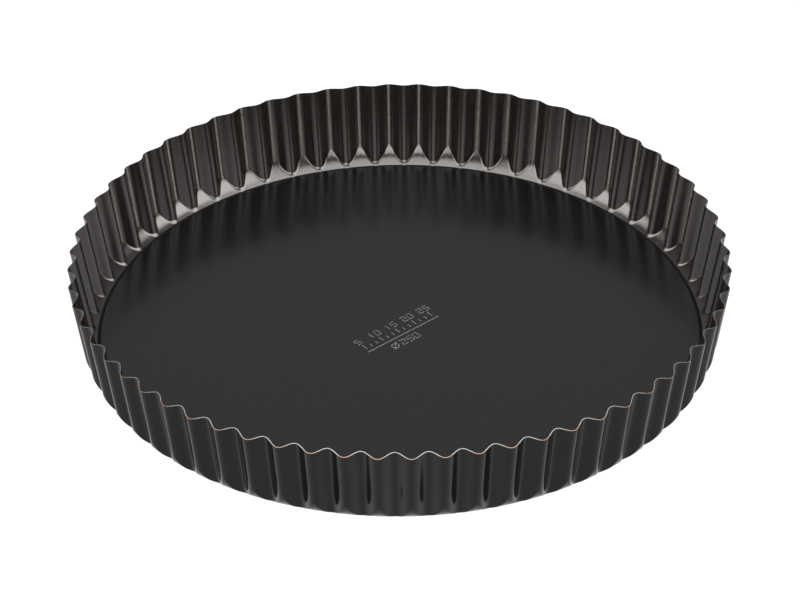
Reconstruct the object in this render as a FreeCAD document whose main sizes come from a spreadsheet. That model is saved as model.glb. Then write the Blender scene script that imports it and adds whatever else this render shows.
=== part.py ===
# Loose-bottomed fluted tart pan, in millimetres.
#
# Two pressed sheet pieces: fluted_ring, a leaning wall of waves with a rounded foot and an inward
# lip, and loose_base, a flat round plate that lies over that lip and lifts out upwards.
# Frame: +Z up, origin on the pan's axis in the plane that it stands on, an outward wave on +X.

import FreeCAD, Part
import math
import os
import Sketcher

Vector = FreeCAD.Vector
DOC = FreeCAD.newDocument("tart_pan")

# alias, value in mm or degrees, what it is
SIZES = (
    ("flute_count", 64, "waves around the wall"),
    ("inside_diameter", 249.6, "between the inward waves, at the rim"),
    ("flute_depth", 3.1, "from an inward wave to an outward one, at the rim"),
    ("low_flute_depth", 3.5, "the same, as the waves deepen steadily down to the table"),
    ("pan_height", 35.75, "from the table to the highest point of the rim"),
    ("wall_lean", 9.4, "of the wall's middle line from upright"),
    ("rim_fall", 22.0, "slope of the rim's cut edge, down and outwards"),
    ("ring_sheet", 0.4, "sheet thickness of the ring"),
    ("foot_radius", 11.0, "outside of the ring's rounded foot"),
    ("floor_diameter", 226.4, "of the flat underside, where the foot's curve starts"),
    ("opening_diameter", 216.0, "inside the ring's lip"),
    ("base_diameter", 233.6, "of the loose base"),
    ("base_sheet", 0.8, "sheet thickness of the loose base"),
    ("base_height", 1.0, "from the table to the loose base's underside"),
    ("base_edge", 0.3, "rounding of the loose base's cut edge"),
)
WAVE_STEPS = 16  # spans of a curve across one wave
FOOT_STEPS = 4  # spans of the foot's surface, from the lip to the wall
SEW_GAP = 0.001


def make_sheet():
    """The spreadsheet with the driving dimensions."""
    sheet = DOC.addObject("Spreadsheet::Sheet", "sizes")
    for row, (alias, value, note) in enumerate(SIZES, start=1):
        sheet.set(f"A{row}", note)
        sheet.set(f"B{row}", str(value))
        sheet.setAlias(f"B{row}", alias)
    DOC.recompute()
    return sheet


SHEET = make_sheet()


def size(alias):
    return float(getattr(SHEET, alias))


def angle_size(alias):
    return math.radians(size(alias))


# ---------------------------------------------------------------- fluted ring
# A skin is a number: 0 for the outside of the sheet and 1 for its inside.


def wall_radius(angle, skin, depth, drop):
    """The wall's radius where its waves have this depth, at a drop below the rim."""
    waves = size("flute_count")
    sheet = size("ring_sheet")
    at_rim = (size("inside_diameter") + sheet + size("flute_depth")) / 2
    mean_radius = at_rim - drop * math.tan(angle_size("wall_lean"))
    wave_slope = depth / 2 * waves * math.sin(waves * angle) / mean_radius
    half_sheet = sheet / 2 * math.hypot(1, wave_slope)
    return mean_radius + depth / 2 * math.cos(waves * angle) + half_sheet * (1 - 2 * skin)


def wall_line(angle, skin):
    """The wall's straight line at an angle: its radius at the table's height, and its slope."""
    height = size("pan_height")
    top = wall_radius(angle, skin, size("flute_depth"), 0)
    start = wall_radius(angle, skin, size("low_flute_depth"), height)
    return start, (top - start) / height


def rim_point(angle, skin):
    """Radius and height where the wall ends, on the cone that trims the rim."""
    start, slope = wall_line(angle, skin)
    fall = math.tan(angle_size("rim_fall"))
    top = size("pan_height") + fall * size("inside_diameter") / 2
    radius = (start + slope * top) / (1 + slope * fall)
    return radius, top - fall * radius


def foot_circle(skin):
    """Centre radius, centre height and radius of the round foot's section."""
    radius = size("foot_radius")
    return size("floor_diameter") / 2, radius, radius - skin * size("ring_sheet")


def crease_turn(angle, skin):
    """How far the foot's curve turns up before it meets the wall."""
    start, slope = wall_line(angle, skin)
    centre, height, radius = foot_circle(skin)
    offset = start - centre
    square = 1 + slope**2
    middle = slope * offset - height
    rest = offset**2 + height**2 - radius**2
    level = (-middle - math.sqrt(max(middle**2 - square * rest, 0))) / square
    return math.pi / 2 + math.atan2(level - height, offset + slope * level)


def foot_point(angle, skin, share):
    """Radius and height at a share of the way from the lip up to the crease."""
    centre, height, radius = foot_circle(skin)
    turn = share * crease_turn(angle, skin)
    return centre + radius * math.sin(turn), height - radius * math.cos(turn)


def wave_edge(place):
    """A smooth edge across one wave, through the radius and height that place gives."""
    pitch = 2 * math.pi / size("flute_count")
    shares = [step / WAVE_STEPS for step in range(WAVE_STEPS + 1)]
    points = []
    for share in shares:
        angle = pitch * (share - 0.5)
        radius, height = place(angle)
        points.append(Vector(radius * math.cos(angle), radius * math.sin(angle), height))
    start, end = points[0], points[-1]
    curve = Part.BSplineCurve()
    curve.interpolate(
        Points=points,
        Parameters=shares,
        InitialTangent=Vector(-start.y, start.x, 0) * pitch,
        FinalTangent=Vector(-end.y, end.x, 0) * pitch,
        Scale=False,
    )
    return curve.toShape()


def foot_edge(skin, share):
    return wave_edge(lambda angle: foot_point(angle, skin, share))


def rim_edge(skin):
    return wave_edge(lambda angle: rim_point(angle, skin))


def wave_faces():
    """One wave's faces: the wall and the foot, inside and out, and the cut edge of the rim."""
    faces = [Part.makeRuledSurface(rim_edge(0), rim_edge(1))]
    for skin in (0, 1):
        faces.append(Part.makeRuledSurface(foot_edge(skin, 1), rim_edge(skin)))
        sections = []
        for step in range(FOOT_STEPS + 1):
            sections.append(Part.Wire(foot_edge(skin, step / FOOT_STEPS)))
        faces.extend(Part.makeLoft(sections, False, False).Faces)
    return faces


def all_round(shapes):
    """The shapes, repeated for every wave around the pan's axis."""
    waves = int(size("flute_count"))
    copies = []
    for wave in range(waves):
        for shape in shapes:
            copy = shape.copy()
            copy.rotate(Vector(0, 0, 0), Vector(0, 0, 1), 360 * wave / waves)
            copies.append(copy)
    return copies


def lip_faces():
    """The lip's flat faces and the round edge of its opening."""
    opening = size("opening_diameter") / 2
    sheet = size("ring_sheet")
    tube = Part.makeCylinder(opening, sheet)
    faces = [face for face in tube.Faces if isinstance(face.Surface, Part.Cylinder)]
    for skin in (0, 1):
        height = skin * sheet
        hole = Part.Wire(Part.makeCircle(opening, Vector(0, 0, height)))
        outline = Part.Wire(all_round([foot_edge(skin, 0)]))
        faces.append(Part.makeFace([outline, hole], "Part::FaceMakerBullseye"))
    return faces


def make_ring():
    """The ring's skin, sewn from the faces of every wave and made solid."""
    skin = Part.makeCompound(all_round(wave_faces()) + lip_faces())
    skin.sewShape(SEW_GAP)
    solid = Part.makeSolid(skin.Shells[0])
    if solid.Volume < 0:
        solid.reverse()
    ring = DOC.addObject("Part::Feature", "fluted_ring")
    ring.Shape = solid
    ring.Placement = FreeCAD.Placement()
    return ring


# ---------------------------------------------------------------- loose base


def make_base():
    """A round plate, padded from a circle, with both corners of its cut edge rounded."""
    body = DOC.addObject("PartDesign::Body", "loose_base")
    body.setExpression("Placement.Base.z", "sizes.base_height * 1 mm")
    floor = next(plane for plane in body.Origin.OriginFeatures if plane.Role == "XY_Plane")
    sketch = body.newObject("Sketcher::SketchObject", "base_outline")
    sketch.AttachmentSupport = (floor, "")
    sketch.MapMode = "FlatFace"
    circle = sketch.addGeometry(Part.Circle(Vector(0, 0, 0), Vector(0, 0, 1), 1))
    sketch.addConstraint(Sketcher.Constraint("Coincident", circle, 3, -1, 1))
    across = sketch.addConstraint(Sketcher.Constraint("Diameter", circle, 2.0))
    sketch.setExpression(f"Constraints[{across}]", "sizes.base_diameter * 1 mm")
    plate = body.newObject("PartDesign::Pad", "base_plate")
    plate.Profile = sketch
    plate.setExpression("Length", "sizes.base_sheet * 1 mm")
    DOC.recompute()
    rounding = body.newObject("PartDesign::Fillet", "base_rounding")
    rims = []
    for number, edge in enumerate(plate.Shape.Edges, start=1):
        if isinstance(edge.Curve, Part.Circle):
            rims.append(f"Edge{number}")
    rounding.Base = (plate, rims)
    rounding.setExpression("Radius", "sizes.base_edge * 1 mm")
    body.Tip = rounding
    return body


# ---------------------------------------------------------------- checks and files


def write_parts(nodes):
    """Checks the whole document, then writes each sub-part to its own file."""
    DOC.recompute()
    for item in DOC.Objects:
        if {"Invalid", "Error"} & set(item.State):
            raise RuntimeError(f"{item.Label} failed: {item.State}")
    for node in nodes:
        if node.Shape.isNull() or not node.Shape.isValid():
            raise RuntimeError(f"{node.Label} has no valid shape")
        if len(node.Shape.Solids) != 1:
            raise RuntimeError(f"{node.Label} is not one solid")
    os.makedirs("parts", exist_ok=True)
    for node in nodes:
        node.Shape.exportStep(f"parts/{node.Label}.step")
        box = node.Shape.optimalBoundingBox()
        volume = node.Shape.Volume / 1000
        print(f"{node.Label}: {box.XLength:.2f} x {box.YLength:.2f} x {box.ZLength:.2f} mm, {volume:.2f} cm3")


write_parts([make_ring(), make_base()])
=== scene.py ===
"""The looks of the loose-bottomed fluted tart pan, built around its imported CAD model.

Blender's lengths are metres; the shapes are worked out in millimetres and scaled as they are built.
The ring and the loose base are made again as finer meshes of the same two sheets, with a soft
crease where the flutes meet the foot, rounded cut edges and a size mark on the base.
"""

import math

import bpy
import numpy as np
from mathutils import Matrix, Vector


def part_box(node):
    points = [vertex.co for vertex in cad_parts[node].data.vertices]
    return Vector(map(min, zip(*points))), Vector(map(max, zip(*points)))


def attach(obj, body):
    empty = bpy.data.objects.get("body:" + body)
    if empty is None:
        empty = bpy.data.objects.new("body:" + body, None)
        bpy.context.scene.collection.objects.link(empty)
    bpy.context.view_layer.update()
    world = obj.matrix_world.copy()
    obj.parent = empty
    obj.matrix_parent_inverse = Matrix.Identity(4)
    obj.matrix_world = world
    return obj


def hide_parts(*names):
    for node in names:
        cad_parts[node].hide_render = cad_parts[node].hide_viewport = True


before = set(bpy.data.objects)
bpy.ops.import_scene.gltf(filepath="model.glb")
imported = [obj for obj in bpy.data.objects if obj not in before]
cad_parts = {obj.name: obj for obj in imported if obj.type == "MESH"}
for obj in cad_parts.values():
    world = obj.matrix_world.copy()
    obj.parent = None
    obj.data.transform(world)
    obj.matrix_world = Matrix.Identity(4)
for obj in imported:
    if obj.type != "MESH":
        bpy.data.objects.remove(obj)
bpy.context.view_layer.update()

MM = 0.001
RING_LOW, RING_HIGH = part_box("fluted_ring")
BASE_LOW, BASE_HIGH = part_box("loose_base")

# ---------------------------------------------------------------- the pan's sizes, in mm
WAVES = 64
FLUTE_DEPTH = 3.1
LOW_FLUTE_DEPTH = 3.5
SHEET = 0.4
WALL_LEAN = math.radians(9.4)
RIM_FALL = math.radians(22)
INSIDE_RADIUS = 124.8
FOOT_RADIUS = 11.0
FLOOR_RADIUS = 113.2
OPENING_RADIUS = 108.0
PAN_HEIGHT = RING_HIGH.z / MM
BASE_RADIUS = BASE_HIGH.x / MM
BASE_TOP = BASE_HIGH.z / MM
BASE_UNDER = BASE_LOW.z / MM
EDGE_ROUND = 0.07  # of the ring's cut edges
BASE_EDGE_ROUND = 0.3
INSIDE_CREASE = (0.5, 1.5)  # how far the crease is rounded off, at an outward and an inward wave
OUTSIDE_CREASE = (0.5, 0.8)
PAINTED_SHADE_TURN = math.radians(27)  # the foot's turn up to which it lies in the seam round the base, which is painted dark as shade
PAINTED_SHADE_STEPS = 4
FOLD_HIGHLIGHT_HALF_WIDTH = 0.025  # of the painted highlight line along an outward wave, as a share of a wave's width
FOLD_HIGHLIGHT_FOOT = 6.5  # the height where that line starts
FOLD_HIGHLIGHT_FADE = 1.5  # the rise over which it grows to its full strength
COLUMNS = WAVES * 24
FOOT_STEPS = 10
CREASE_STEPS = 6
WALL_STEPS = 6
EDGE_STEPS = 3
BASE_COLUMNS = 512
BASE_EDGE_STEPS = 5
ANGLES = np.arange(COLUMNS) * 2 * math.pi / COLUMNS

# ---------------------------------------------------------------- mesh helpers
# A section is a list of (radius, height) points in mm; each of the two may vary with the angle.


def point(radius, height):
    return np.stack([np.broadcast_to(part, COLUMNS) for part in (radius, height)], axis=-1)


def straight(start, end, steps):
    """Points from start towards end, without the end."""
    return [start + (end - start) * step / steps for step in range(steps)]


def rounded(start, corner, end, steps):
    """Points from start round a softened corner towards end, without the end."""
    shares = [step / steps for step in range(steps)]
    return [(1 - s) ** 2 * start + 2 * s * (1 - s) * corner + s**2 * end for s in shares]


def step_towards(start, end, distance):
    """The point that lies a distance from start on the way to end."""
    span = end - start
    return start + span * (distance / np.linalg.norm(span, axis=-1))[..., None]


def smooth_normals(mesh):
    """Weights a quad mesh's normals by face area, so that wide flat faces stay flat to the light."""
    count = len(mesh.vertices)
    places = np.empty(count * 3)
    mesh.vertices.foreach_get("co", places)
    places = places.reshape(-1, 3)
    normals = np.zeros((count, 3))
    corners = np.array([list(face.vertices) for face in mesh.polygons])
    across = places[corners[:, 2]] - places[corners[:, 0]]
    along = places[corners[:, 3]] - places[corners[:, 1]]
    facing = np.cross(across, along)
    for side in range(4):
        np.add.at(normals, corners[:, side], facing)
    normals /= np.linalg.norm(normals, axis=1)[:, None]
    mesh.normals_split_custom_set_from_vertices(normals.tolist())


def ring_mesh(name, strips, materials):
    """A closed tube of quads, all round the pan.

    A strip is a material and the section's points that it starts from; the strips join up in order.
    """
    rows = np.stack([row for _, section in strips for row in section])
    row_materials = [materials.index(material) for material, section in strips for _ in section]
    radius, height = rows[..., 0], rows[..., 1]
    places = np.stack([radius * np.cos(ANGLES), radius * np.sin(ANGLES), height], axis=-1) * MM
    count = len(rows)
    index = np.arange(count * COLUMNS).reshape(count, COLUMNS)
    over = np.roll(index, -1, axis=0)
    quads = np.stack([index, np.roll(index, -1, axis=1), np.roll(over, -1, axis=1), over], axis=-1)
    mesh = bpy.data.meshes.new(name)
    mesh.from_pydata(places.reshape(-1, 3).tolist(), [], quads.reshape(-1, 4).tolist())
    for material in materials:
        mesh.materials.append(material)
    mesh.polygons.foreach_set("material_index", np.repeat(row_materials, COLUMNS))
    mesh.polygons.foreach_set("use_smooth", np.ones(count * COLUMNS, dtype=bool))
    mesh.update()
    smooth_normals(mesh)
    piece = bpy.data.objects.new(name, mesh)
    bpy.context.scene.collection.objects.link(piece)
    return piece


# ---------------------------------------------------------------- materials
NOISE_LOW, NOISE_HIGH = 0.3, 0.7  # most of a noise's values lie between these
GRAIN = 0.8  # mm across, of the coating's fine grain
CLOUDS = 30  # mm across, of its faint clouds
GRAIN_SHARE = 0.85  # of the grain in the coating's colour
CLOUD_LIFT = (0.04, 0.11)  # what the clouds add to it
ROUGHNESS_SPREAD = 0.03  # to either side of the coating's own roughness


class Nodes:
    """Shorthand for building one material's node tree."""

    def __init__(self, name):
        self.material = bpy.data.materials.new(name)
        self.material.use_nodes = True
        self.tree = self.material.node_tree
        self.shader = self.tree.nodes["Principled BSDF"]
        self.place = self.add("ShaderNodeTexCoord").outputs["Object"]

    def add(self, kind, **settings):
        node = self.tree.nodes.new(kind)
        for key, value in settings.items():
            setattr(node, key, value)
        return node

    def link(self, source, target):
        self.tree.links.new(source, target)

    def noise(self, grain, detail=2.0):
        """A noise whose features are about grain millimetres across."""
        node = self.add("ShaderNodeTexNoise")
        self.link(self.place, node.inputs["Vector"])
        node.inputs["Scale"].default_value = 1 / (grain * MM)
        node.inputs["Detail"].default_value = detail
        return node.outputs["Fac"]

    def ramp(self, source, start, end):
        """A colour ramp between two (position, colour) stops."""
        node = self.add("ShaderNodeValToRGB")
        self.link(source, node.inputs["Fac"])
        for element, (position, colour) in zip(node.color_ramp.elements, (start, end)):
            element.position = position
            element.color = (*colour, 1)
        return node.outputs["Color"]

    def spread(self, source, low, high):
        """Spreads a noise out, so that it runs from low to high."""
        node = self.add("ShaderNodeMapRange")
        self.link(source, node.inputs["Value"])
        node.inputs["From Min"].default_value = NOISE_LOW
        node.inputs["From Max"].default_value = NOISE_HIGH
        node.inputs["To Min"].default_value = low
        node.inputs["To Max"].default_value = high
        return node.outputs["Result"]

    def stretch(self, source, start, end):
        """A smooth step between two (value, result) pairs."""
        node = self.add("ShaderNodeMapRange", interpolation_type="SMOOTHSTEP")
        self.link(source, node.inputs["Value"])
        node.inputs["From Min"].default_value, node.inputs["To Min"].default_value = start
        node.inputs["From Max"].default_value, node.inputs["To Max"].default_value = end
        return node.outputs["Result"]

    def bump(self, source, depth):
        node = self.add("ShaderNodeBump")
        node.inputs["Distance"].default_value = depth * MM
        self.link(source, node.inputs["Height"])
        return node.outputs["Normal"]


def painted_fold_highlight(nodes):
    """A mask that is 1 along a highlight painted on the fold in the middle of each outward wave,
    above the foot.
    """
    axes = nodes.add("ShaderNodeSeparateXYZ")
    nodes.link(nodes.place, axes.inputs[0])
    angle = nodes.add("ShaderNodeMath", operation="ARCTAN2")
    nodes.link(axes.outputs["Y"], angle.inputs[0])
    nodes.link(axes.outputs["X"], angle.inputs[1])
    wave = nodes.add("ShaderNodeMath", operation="MULTIPLY")
    nodes.link(angle.outputs["Value"], wave.inputs[0])
    wave.inputs[1].default_value = WAVES / (2 * math.pi)
    aside = nodes.add("ShaderNodeMath", operation="PINGPONG")
    nodes.link(wave.outputs["Value"], aside.inputs[0])
    aside.inputs[1].default_value = 0.5
    line = nodes.stretch(aside.outputs["Value"], (FOLD_HIGHLIGHT_HALF_WIDTH, 1.0), (2 * FOLD_HIGHLIGHT_HALF_WIDTH, 0.0))
    full_height = FOLD_HIGHLIGHT_FOOT + FOLD_HIGHLIGHT_FADE
    above = nodes.stretch(axes.outputs["Z"], (FOLD_HIGHLIGHT_FOOT * MM, 0.0), (full_height * MM, 1.0))
    both = nodes.add("ShaderNodeMath", operation="MULTIPLY")
    nodes.link(line, both.inputs[0])
    nodes.link(above, both.inputs[1])
    painted_highlight = nodes.add("ShaderNodeMath", operation="MULTIPLY")
    nodes.link(both.outputs["Value"], painted_highlight.inputs[0])
    nodes.link(nodes.spread(nodes.noise(1.2, 3), 0.4, 1.0), painted_highlight.inputs[1])
    return painted_highlight.outputs["Value"]


def coating(name, dark, light, roughness, grain_depth, gloss, fold_highlight_colour=None, tint=(1, 1, 1)):
    """Baked-on dark coating: a fine grain in its colour, roughness and surface, and faint clouds.

    The fold highlight colour is painted along the outward waves as a highlight, and the tint colours
    what it reflects.
    """
    nodes = Nodes(name)
    grain = nodes.noise(GRAIN, 3)
    clouds = nodes.noise(CLOUDS, 3)
    mix = nodes.add("ShaderNodeMath", operation="MULTIPLY_ADD")
    nodes.link(grain, mix.inputs[0])
    mix.inputs[1].default_value = GRAIN_SHARE
    nodes.link(nodes.spread(clouds, *CLOUD_LIFT), mix.inputs[2])
    colour = nodes.ramp(mix.outputs["Value"], (NOISE_LOW, dark), (NOISE_HIGH, light))
    # Painted highlight: a pale line mixed into the colour along each outward wave's fold.
    if fold_highlight_colour is not None:
        painted_highlight = nodes.add("ShaderNodeMix", data_type="RGBA")
        nodes.link(painted_fold_highlight(nodes), painted_highlight.inputs["Factor"])
        nodes.link(colour, painted_highlight.inputs["A"])
        painted_highlight.inputs["B"].default_value = (*fold_highlight_colour, 1)
        colour = painted_highlight.outputs["Result"]
    nodes.link(colour, nodes.shader.inputs["Base Color"])
    smooth, rough = roughness - ROUGHNESS_SPREAD, roughness + ROUGHNESS_SPREAD
    nodes.link(nodes.spread(grain, smooth, rough), nodes.shader.inputs["Roughness"])
    nodes.link(nodes.bump(grain, grain_depth), nodes.shader.inputs["Normal"])
    nodes.shader.inputs["Specular IOR Level"].default_value = gloss
    nodes.shader.inputs["Specular Tint"].default_value = (*tint, 1)
    return nodes.material


def bare_edge(name):
    """The sheet's raw cut edge: pale steel with the coppery tint of the outward waves."""
    nodes = Nodes(name)
    nodes.shader.inputs["Metallic"].default_value = 1.0
    distance = nodes.add("ShaderNodeVectorMath", operation="LENGTH")
    flat = nodes.add("ShaderNodeVectorMath", operation="MULTIPLY")
    nodes.link(nodes.place, flat.inputs[0])
    flat.inputs[1].default_value = (1, 1, 0)
    nodes.link(flat.outputs["Vector"], distance.inputs[0])
    outward = nodes.add("ShaderNodeMapRange")
    nodes.link(distance.outputs["Value"], outward.inputs["Value"])
    outward.inputs["From Min"].default_value = (INSIDE_RADIUS + 0.5 * FLUTE_DEPTH) * MM
    outward.inputs["From Max"].default_value = (INSIDE_RADIUS + FLUTE_DEPTH) * MM
    steel, copper = (0.115, 0.11, 0.105), (0.11, 0.07, 0.048)
    tint = nodes.ramp(outward.outputs["Result"], (0.0, steel), (1.0, copper))
    nodes.link(tint, nodes.shader.inputs["Base Color"])
    nodes.link(nodes.spread(nodes.noise(0.5), 0.3, 0.45), nodes.shader.inputs["Roughness"])
    return nodes.material


INSIDE_COATING = coating(
    "coated_steel_inside",
    dark=(0.0008, 0.0006, 0.0005),
    light=(0.0045, 0.0037, 0.0033),
    roughness=0.2,
    grain_depth=0.04,
    gloss=0.5,
    # the pale colour of the highlight painted along each fold
    fold_highlight_colour=(0.05, 0.046, 0.042),
    tint=(1, 0.95, 0.91),
)
OUTSIDE_COATING = coating(
    "coated_steel_outside",
    dark=(0.001, 0.001, 0.001),
    light=(0.001, 0.001, 0.001),
    roughness=0.1,
    grain_depth=0.001,
    gloss=0.18,
)
BASE_COATING = coating(
    "coated_steel_base_top",
    dark=(0, 0, 0),
    light=(0.0012, 0.0012, 0.0012),
    roughness=0.19,
    grain_depth=0.025,
    gloss=0.285,
)
# Painted highlight: the mark's lines are a much lighter copy of the base's coating, standing in for
# the light they catch.
MARK_COATING_PAINTED_HIGHLIGHT = coating(
    "coated_steel_mark_painted_highlight",
    dark=(0.02, 0.02, 0.02),
    light=(0.05, 0.05, 0.05),
    roughness=0.35,
    grain_depth=0.01,
    gloss=0.5,
)
# Painted shade: a darker, duller copy of the coating for the foot's lowest rows round the base,
# standing in for the shadow in the gap between ring and base.
SEAM_PAINTED_SHADE = coating(
    "coated_steel_seam_painted_shade",
    dark=(0, 0, 0),
    light=(0.001, 0.001, 0.001),
    roughness=0.6,
    grain_depth=0.001,
    gloss=0.05,
)
BARE_EDGE = bare_edge("bare_steel_edge")

# ---------------------------------------------------------------- the fluted ring


def wall_radius(outside, depth, drop):
    """The wall's radius for each angle, where its waves have this depth, at a drop below the rim."""
    mean_radius = INSIDE_RADIUS + (SHEET + FLUTE_DEPTH) / 2 - drop * math.tan(WALL_LEAN)
    slope = depth / 2 * WAVES * np.sin(WAVES * ANGLES) / mean_radius
    half_sheet = SHEET / 2 * np.hypot(1, slope) * (1 if outside else -1)
    return mean_radius + depth / 2 * np.cos(WAVES * ANGLES) + half_sheet


def wall_line(outside):
    """The wall's straight lines: their radius at the table's height, and their slope."""
    start = wall_radius(outside, LOW_FLUTE_DEPTH, PAN_HEIGHT)
    return start, (wall_radius(outside, FLUTE_DEPTH, 0) - start) / PAN_HEIGHT


def rim_corner(outside):
    start, slope = wall_line(outside)
    fall = math.tan(RIM_FALL)
    top = PAN_HEIGHT + fall * INSIDE_RADIUS
    radius = (start + slope * top) / (1 + slope * fall)
    return point(radius, top - fall * radius)


def foot_radius(outside):
    return FOOT_RADIUS if outside else FOOT_RADIUS - SHEET


def foot_point(outside, turn):
    """A point of the rounded foot, after its section has turned up by an angle."""
    radius = foot_radius(outside)
    return point(FLOOR_RADIUS + radius * np.sin(turn), FOOT_RADIUS - radius * np.cos(turn))


def crease_turn(outside):
    """How far the foot's section has turned up where it meets the wall."""
    radius = foot_radius(outside)
    start, slope = wall_line(outside)
    offset = start - FLOOR_RADIUS
    square = 1 + slope**2
    middle = slope * offset - FOOT_RADIUS
    rest = offset**2 + FOOT_RADIUS**2 - radius**2
    level = (-middle - np.sqrt(np.maximum(middle**2 - square * rest, 0))) / square
    return math.pi / 2 + np.arctan2(level - FOOT_RADIUS, offset + slope * level)


def side_of_ring(outside):
    """One side of the sheet, from the floor's edge up to the rim's rounding."""
    outward, inward = OUTSIDE_CREASE if outside else INSIDE_CREASE
    softness = inward + (outward - inward) * (1 + np.cos(WAVES * ANGLES)) / 2
    turn = crease_turn(outside)
    crease = foot_point(outside, turn)
    rim = rim_corner(outside)
    foot_end = turn - softness / foot_radius(outside)
    wall_foot = step_towards(crease, rim, softness)
    wall_top = step_towards(rim, crease, EDGE_ROUND)
    section = [foot_point(outside, PAINTED_SHADE_TURN * step / PAINTED_SHADE_STEPS) for step in range(PAINTED_SHADE_STEPS)]
    for step in range(FOOT_STEPS):
        section.append(foot_point(outside, PAINTED_SHADE_TURN + (foot_end - PAINTED_SHADE_TURN) * step / FOOT_STEPS))
    section += rounded(foot_point(outside, foot_end), crease, wall_foot, CREASE_STEPS)
    section += straight(wall_foot, wall_top, WALL_STEPS)
    return section + [wall_top]


def rounded_corner(before, corner, after):
    """The rounding of a cut corner that lies between two other points, without its end."""
    start = step_towards(corner, before, EDGE_ROUND)
    end = step_towards(corner, after, EDGE_ROUND)
    return rounded(start, corner, end, EDGE_STEPS)


def make_ring():
    """The fluted ring: up the outside, over the cut rim, down the inside and round the lip."""
    outer_rim, inner_rim = rim_corner(True), rim_corner(False)
    outside, inside = side_of_ring(True), side_of_ring(False)
    cut_start = step_towards(outer_rim, inner_rim, EDGE_ROUND)
    cut_end = step_towards(inner_rim, outer_rim, EDGE_ROUND)
    outer_round = rounded(outside[-1], outer_rim, cut_start, EDGE_STEPS)[1:]
    inner_round = rounded(cut_end, inner_rim, inside[-1], EDGE_STEPS)
    low, high = point(OPENING_RADIUS, 0), point(OPENING_RADIUS, SHEET)
    low_floor, high_floor = point(FLOOR_RADIUS, 0), point(FLOOR_RADIUS, SHEET)
    lip = straight(high_floor, step_towards(high, high_floor, EDGE_ROUND), 2)[1:]
    lip += rounded_corner(high_floor, high, low)
    lip += rounded_corner(high, low, low_floor)
    under = [step_towards(low, low_floor, EDGE_ROUND)]
    strips = (
        (OUTSIDE_COATING, outside + outer_round),
        (BARE_EDGE, [cut_start]),
        (INSIDE_COATING, inner_round + inside[:PAINTED_SHADE_STEPS:-1]),
        # The foot's lowest rows by the base carry the painted shade, and so does the lip below the
        # base.
        (SEAM_PAINTED_SHADE, inside[PAINTED_SHADE_STEPS::-1] + lip),
        (OUTSIDE_COATING, under),
    )
    materials = [INSIDE_COATING, OUTSIDE_COATING, BARE_EDGE, SEAM_PAINTED_SHADE]
    ring = ring_mesh("fluted_ring_sheet", strips, materials)
    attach(ring, "ring")
    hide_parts("fluted_ring")


# ---------------------------------------------------------------- the loose base and its mark


def quarter(radius, height, start):
    """Points round a quarter of the base's edge rounding, turning outwards and down from start."""
    turns = [start - math.pi / 2 * step / BASE_EDGE_STEPS for step in range(BASE_EDGE_STEPS + 1)]
    return [
        (radius + BASE_EDGE_ROUND * math.cos(turn), height + BASE_EDGE_ROUND * math.sin(turn))
        for turn in turns
    ]


def make_base():
    """The round plate: a closed mesh turned round the pan's axis."""
    flat_radius = BASE_RADIUS - BASE_EDGE_ROUND
    flat_rows = (40, 90, flat_radius - 0.1)  # where each flat face has a circle of points
    rows = [(radius, BASE_TOP) for radius in flat_rows]
    rows += quarter(flat_radius, BASE_TOP - BASE_EDGE_ROUND, math.pi / 2)
    rows += quarter(flat_radius, BASE_UNDER + BASE_EDGE_ROUND, 0)
    rows += [(radius, BASE_UNDER) for radius in reversed(flat_rows)]
    turns = [2 * math.pi * column / BASE_COLUMNS for column in range(BASE_COLUMNS)]
    places = [(r * MM * math.cos(t), r * MM * math.sin(t), z * MM) for r, z in rows for t in turns]
    places += [(0, 0, BASE_TOP * MM), (0, 0, BASE_UNDER * MM)]
    top, under = len(places) - 2, len(places) - 1
    last = (len(rows) - 1) * BASE_COLUMNS
    faces = []
    for column in range(BASE_COLUMNS):
        over = (column + 1) % BASE_COLUMNS
        faces.append((top, column, over))
        faces.append((under, last + over, last + column))
        for row in range(len(rows) - 1):
            near, far = row * BASE_COLUMNS, (row + 1) * BASE_COLUMNS
            faces.append((near + column, far + column, far + over, near + over))
    mesh = bpy.data.meshes.new("loose_base_plate")
    mesh.from_pydata(places, [], faces)
    mesh.materials.append(BASE_COATING)
    mesh.shade_smooth()
    plate = bpy.data.objects.new("loose_base_plate", mesh)
    bpy.context.scene.collection.objects.link(plate)
    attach(plate, "base")
    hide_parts("loose_base")


# Each numeral is one line, in a box 2 wide and 3 high.
NUMERALS = {
    "0": ((0, 0), (2, 0), (2, 3), (0, 3), (0, 0)),
    "1": ((0.4, 2.4), (1, 3), (1, 0)),
    "2": ((0, 3), (2, 3), (2, 1.5), (0, 1.5), (0, 0), (2, 0)),
    "5": ((2, 3), (0, 3), (0, 1.5), (2, 1.5), (2, 0), (0, 0)),
}
MARK_MIDDLE = (1.1, -2.7)
MARK_TURN = math.radians(39.3)
MARK_LINE = 0.18  # half the width of the mark's lines
MARK_RISE = 0.07
RULE_HALF = 18.3
TICK_PITCH = 2.8
TICK_LOW = 1.8
TICK_HEIGHTS = (3.0, 1.8, 1.8)  # a long tick and two short ones
LABELS = ("5", "10", "15", "20", "25")  # one above each long tick
LABEL_LOW = 6.0
LABEL_HEIGHT = 3.0
SIGN_MIDDLE = (-7.4, -3.9)  # of the diameter sign
SIGN_RADIUS = 1.5
SIGN_STROKE = (1.7, 2.0)  # half the width and half the height of the line through it
SIZE_PLACE = (-4.2, -5.5)  # where the diameter's numerals start
SIZE_HEIGHT = 3.2


def numeral_lines(text, left, low, height):
    scale = height / 3
    lines = []
    for place, numeral in enumerate(text):
        start = left + place * 3 * scale
        lines.append([(start + x * scale, low + y * scale) for x, y in NUMERALS[numeral]])
    return lines


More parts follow.
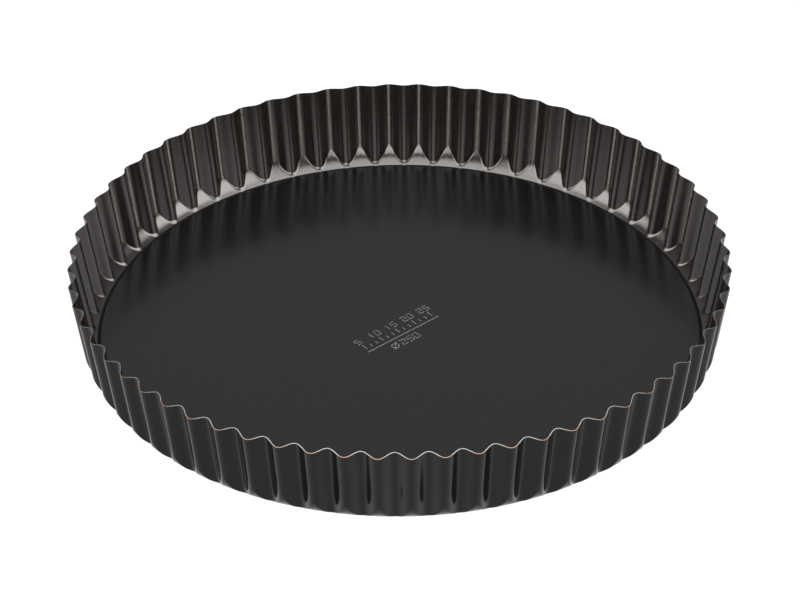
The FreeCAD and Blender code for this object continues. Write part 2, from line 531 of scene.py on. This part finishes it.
def mark_lines():
    """The size mark's lines: a rule with its scale above, and the diameter below."""
    lines = [[(-RULE_HALF, 0), (RULE_HALF, 0)]]
    group = len(TICK_HEIGHTS)
    for step in range(-2 * group, 2 * group + 1):
        top = TICK_LOW + TICK_HEIGHTS[step % group]
        lines.append([(step * TICK_PITCH, TICK_LOW), (step * TICK_PITCH, top)])
    for place, text in enumerate(LABELS, start=-2):
        half_width = (1.5 * len(text) - 0.5) * LABEL_HEIGHT / 3
        left = place * group * TICK_PITCH - half_width
        lines += numeral_lines(text, left, LABEL_LOW, LABEL_HEIGHT)
    across, up = SIGN_MIDDLE
    turns = [math.radians(30 * step) for step in range(13)]
    circle = [(math.cos(turn), math.sin(turn)) for turn in turns]
    lines.append([(across + SIGN_RADIUS * x, up + SIGN_RADIUS * y) for x, y in circle])
    width, height = SIGN_STROKE
    lines.append([(across - width, up - height), (across + width, up + height)])
    return lines + numeral_lines("250", *SIZE_PLACE, SIZE_HEIGHT)


def make_mark():
    """Low rounded lines standing on the base, as if pressed up from below."""
    curve = bpy.data.curves.new("size_mark_lines", "CURVE")
    curve.dimensions = "3D"
    curve.bevel_depth = MARK_LINE * MM
    curve.bevel_resolution = 2
    curve.use_fill_caps = True
    for line in mark_lines():
        spline = curve.splines.new("POLY")
        spline.points.add(len(line) - 1)
        for spot, (x, y) in zip(spline.points, line):
            spot.co = (x * MM, y * MM, 0, 1)
    draft = bpy.data.objects.new("size_mark_lines", curve)
    mesh = bpy.data.meshes.new_from_object(draft)
    bpy.data.objects.remove(draft)
    mesh.name = "size_mark"
    mesh.materials.clear()
    # the lines' lighter colour is a painted highlight
    mesh.materials.append(MARK_COATING_PAINTED_HIGHLIGHT)
    flatten = Matrix.Diagonal((1, 1, MARK_RISE / MARK_LINE, 1))
    middle = Matrix.Translation((MARK_MIDDLE[0] * MM, MARK_MIDDLE[1] * MM, BASE_TOP * MM))
    mesh.transform(middle @ Matrix.Rotation(MARK_TURN, 4, "Z") @ flatten)
    mesh.shade_smooth()
    mark = bpy.data.objects.new("size_mark", mesh)
    bpy.context.scene.collection.objects.link(mark)
    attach(mark, "base")


make_ring()
make_base()
make_mark()

# ---------------------------------------------------------------- floor, light and camera
STUDIO_FLOOR_HALF = 12.0  # metres
STUDIO_FLOOR_DROP = 0.02  # mm below the pan


def make_floor():
    """A plain pale floor, bright of its own accord, just below the pan."""
    material = bpy.data.materials.new("floor")
    material.use_nodes = True
    shader = material.node_tree.nodes["Principled BSDF"]
    shader.inputs["Base Color"].default_value = (0.02, 0.02, 0.02, 1)
    shader.inputs["Emission Color"].default_value = (1, 1, 1, 1)
    shader.inputs["Emission Strength"].default_value = 1.05
    shader.inputs["Roughness"].default_value = 0.9
    shader.inputs["Specular IOR Level"].default_value = 0.1
    mesh = bpy.data.meshes.new("floor")
    half = STUDIO_FLOOR_HALF
    corners = [(-half, -half, 0), (half, -half, 0), (half, half, 0), (-half, half, 0)]
    mesh.from_pydata(corners, [], [(0, 1, 2, 3)])
    mesh.materials.append(material)
    floor = bpy.data.objects.new("floor", mesh)
    floor.location.z = -STUDIO_FLOOR_DROP * MM
    bpy.context.scene.collection.objects.link(floor)


def make_studio(base, softboxes):
    """A plain studio of soft-edged round lights, each (azimuth, elevation, inner, outer, strength).

    Azimuth 0 is the camera's side and 90 the right; a light is full within inner degrees of its
    middle and gone at outer degrees.
    """
    world = bpy.data.worlds.new("studio")
    world.use_nodes = True
    tree = world.node_tree
    place = tree.nodes.new("ShaderNodeTexCoord").outputs["Generated"]
    total = None
    for azimuth, elevation, inner, outer, strength in softboxes:
        turn, lift = math.radians(azimuth), math.radians(elevation)
        way = (math.sin(turn) * math.cos(lift), -math.cos(turn) * math.cos(lift), math.sin(lift))
        facing = tree.nodes.new("ShaderNodeVectorMath")
        facing.operation = "DOT_PRODUCT"
        tree.links.new(place, facing.inputs[0])
        facing.inputs[1].default_value = way
        light = tree.nodes.new("ShaderNodeMapRange")
        light.interpolation_type = "SMOOTHSTEP"
        tree.links.new(facing.outputs["Value"], light.inputs["Value"])
        light.inputs["From Min"].default_value = math.cos(math.radians(outer))
        light.inputs["From Max"].default_value = math.cos(math.radians(inner))
        light.inputs["To Max"].default_value = strength
        join = tree.nodes.new("ShaderNodeMath")
        join.operation = "ADD"
        tree.links.new(light.outputs["Result"], join.inputs[0])
        join.inputs[1].default_value = base
        if total is not None:
            tree.links.new(total, join.inputs[1])
        total = join.outputs["Value"]
    tree.nodes["Background"].inputs["Color"].default_value = (1, 1, 1, 1)
    tree.links.new(total, tree.nodes["Background"].inputs["Strength"])
    bpy.context.scene.world = world


def make_camera():
    """A long lens, looking down at the pan across its rim."""
    elevation, turn, roll = math.radians(34.890), math.radians(-1.779), 0.00880
    distance, aside, above = 1.81731, 0.00111, -0.01569
    focus = Vector((0, 0, 0.03516))
    right = Vector((1, 0, 0))
    up = Vector((0, math.sin(elevation), math.cos(elevation)))
    back = right.cross(up)
    spin = Matrix.Rotation(turn, 3, "Z")
    place = focus + spin @ (back * distance + right * aside + up * above)
    rolled_right = right * math.cos(roll) - up * math.sin(roll)
    rolled_up = right * math.sin(roll) + up * math.cos(roll)
    axes = Matrix((spin @ rolled_right, spin @ rolled_up, spin @ back)).transposed()
    data = bpy.data.cameras.new("camera")
    data.sensor_width = 36
    data.lens = 211.91
    data.shift_x = -0.00329
    data.shift_y = 0.00030
    data.clip_end = 40
    camera = bpy.data.objects.new("camera", data)
    camera.matrix_world = Matrix.Translation(place) @ axes.to_4x4()
    bpy.context.scene.collection.objects.link(camera)
    bpy.context.scene.camera = camera


make_floor()
make_studio(
    0.1,
    (
        (0, 88, 20, 42, 8.0),
        (77, 31, 17, 33, 11.5),
        (-77, 31, 17, 33, 10.5),
        (0, 14, 15, 32, 10.0),
        (180, 38, 15, 60, 0.6),
    ),
)
make_camera()
bpy.context.scene.view_settings.view_transform = "Standard"
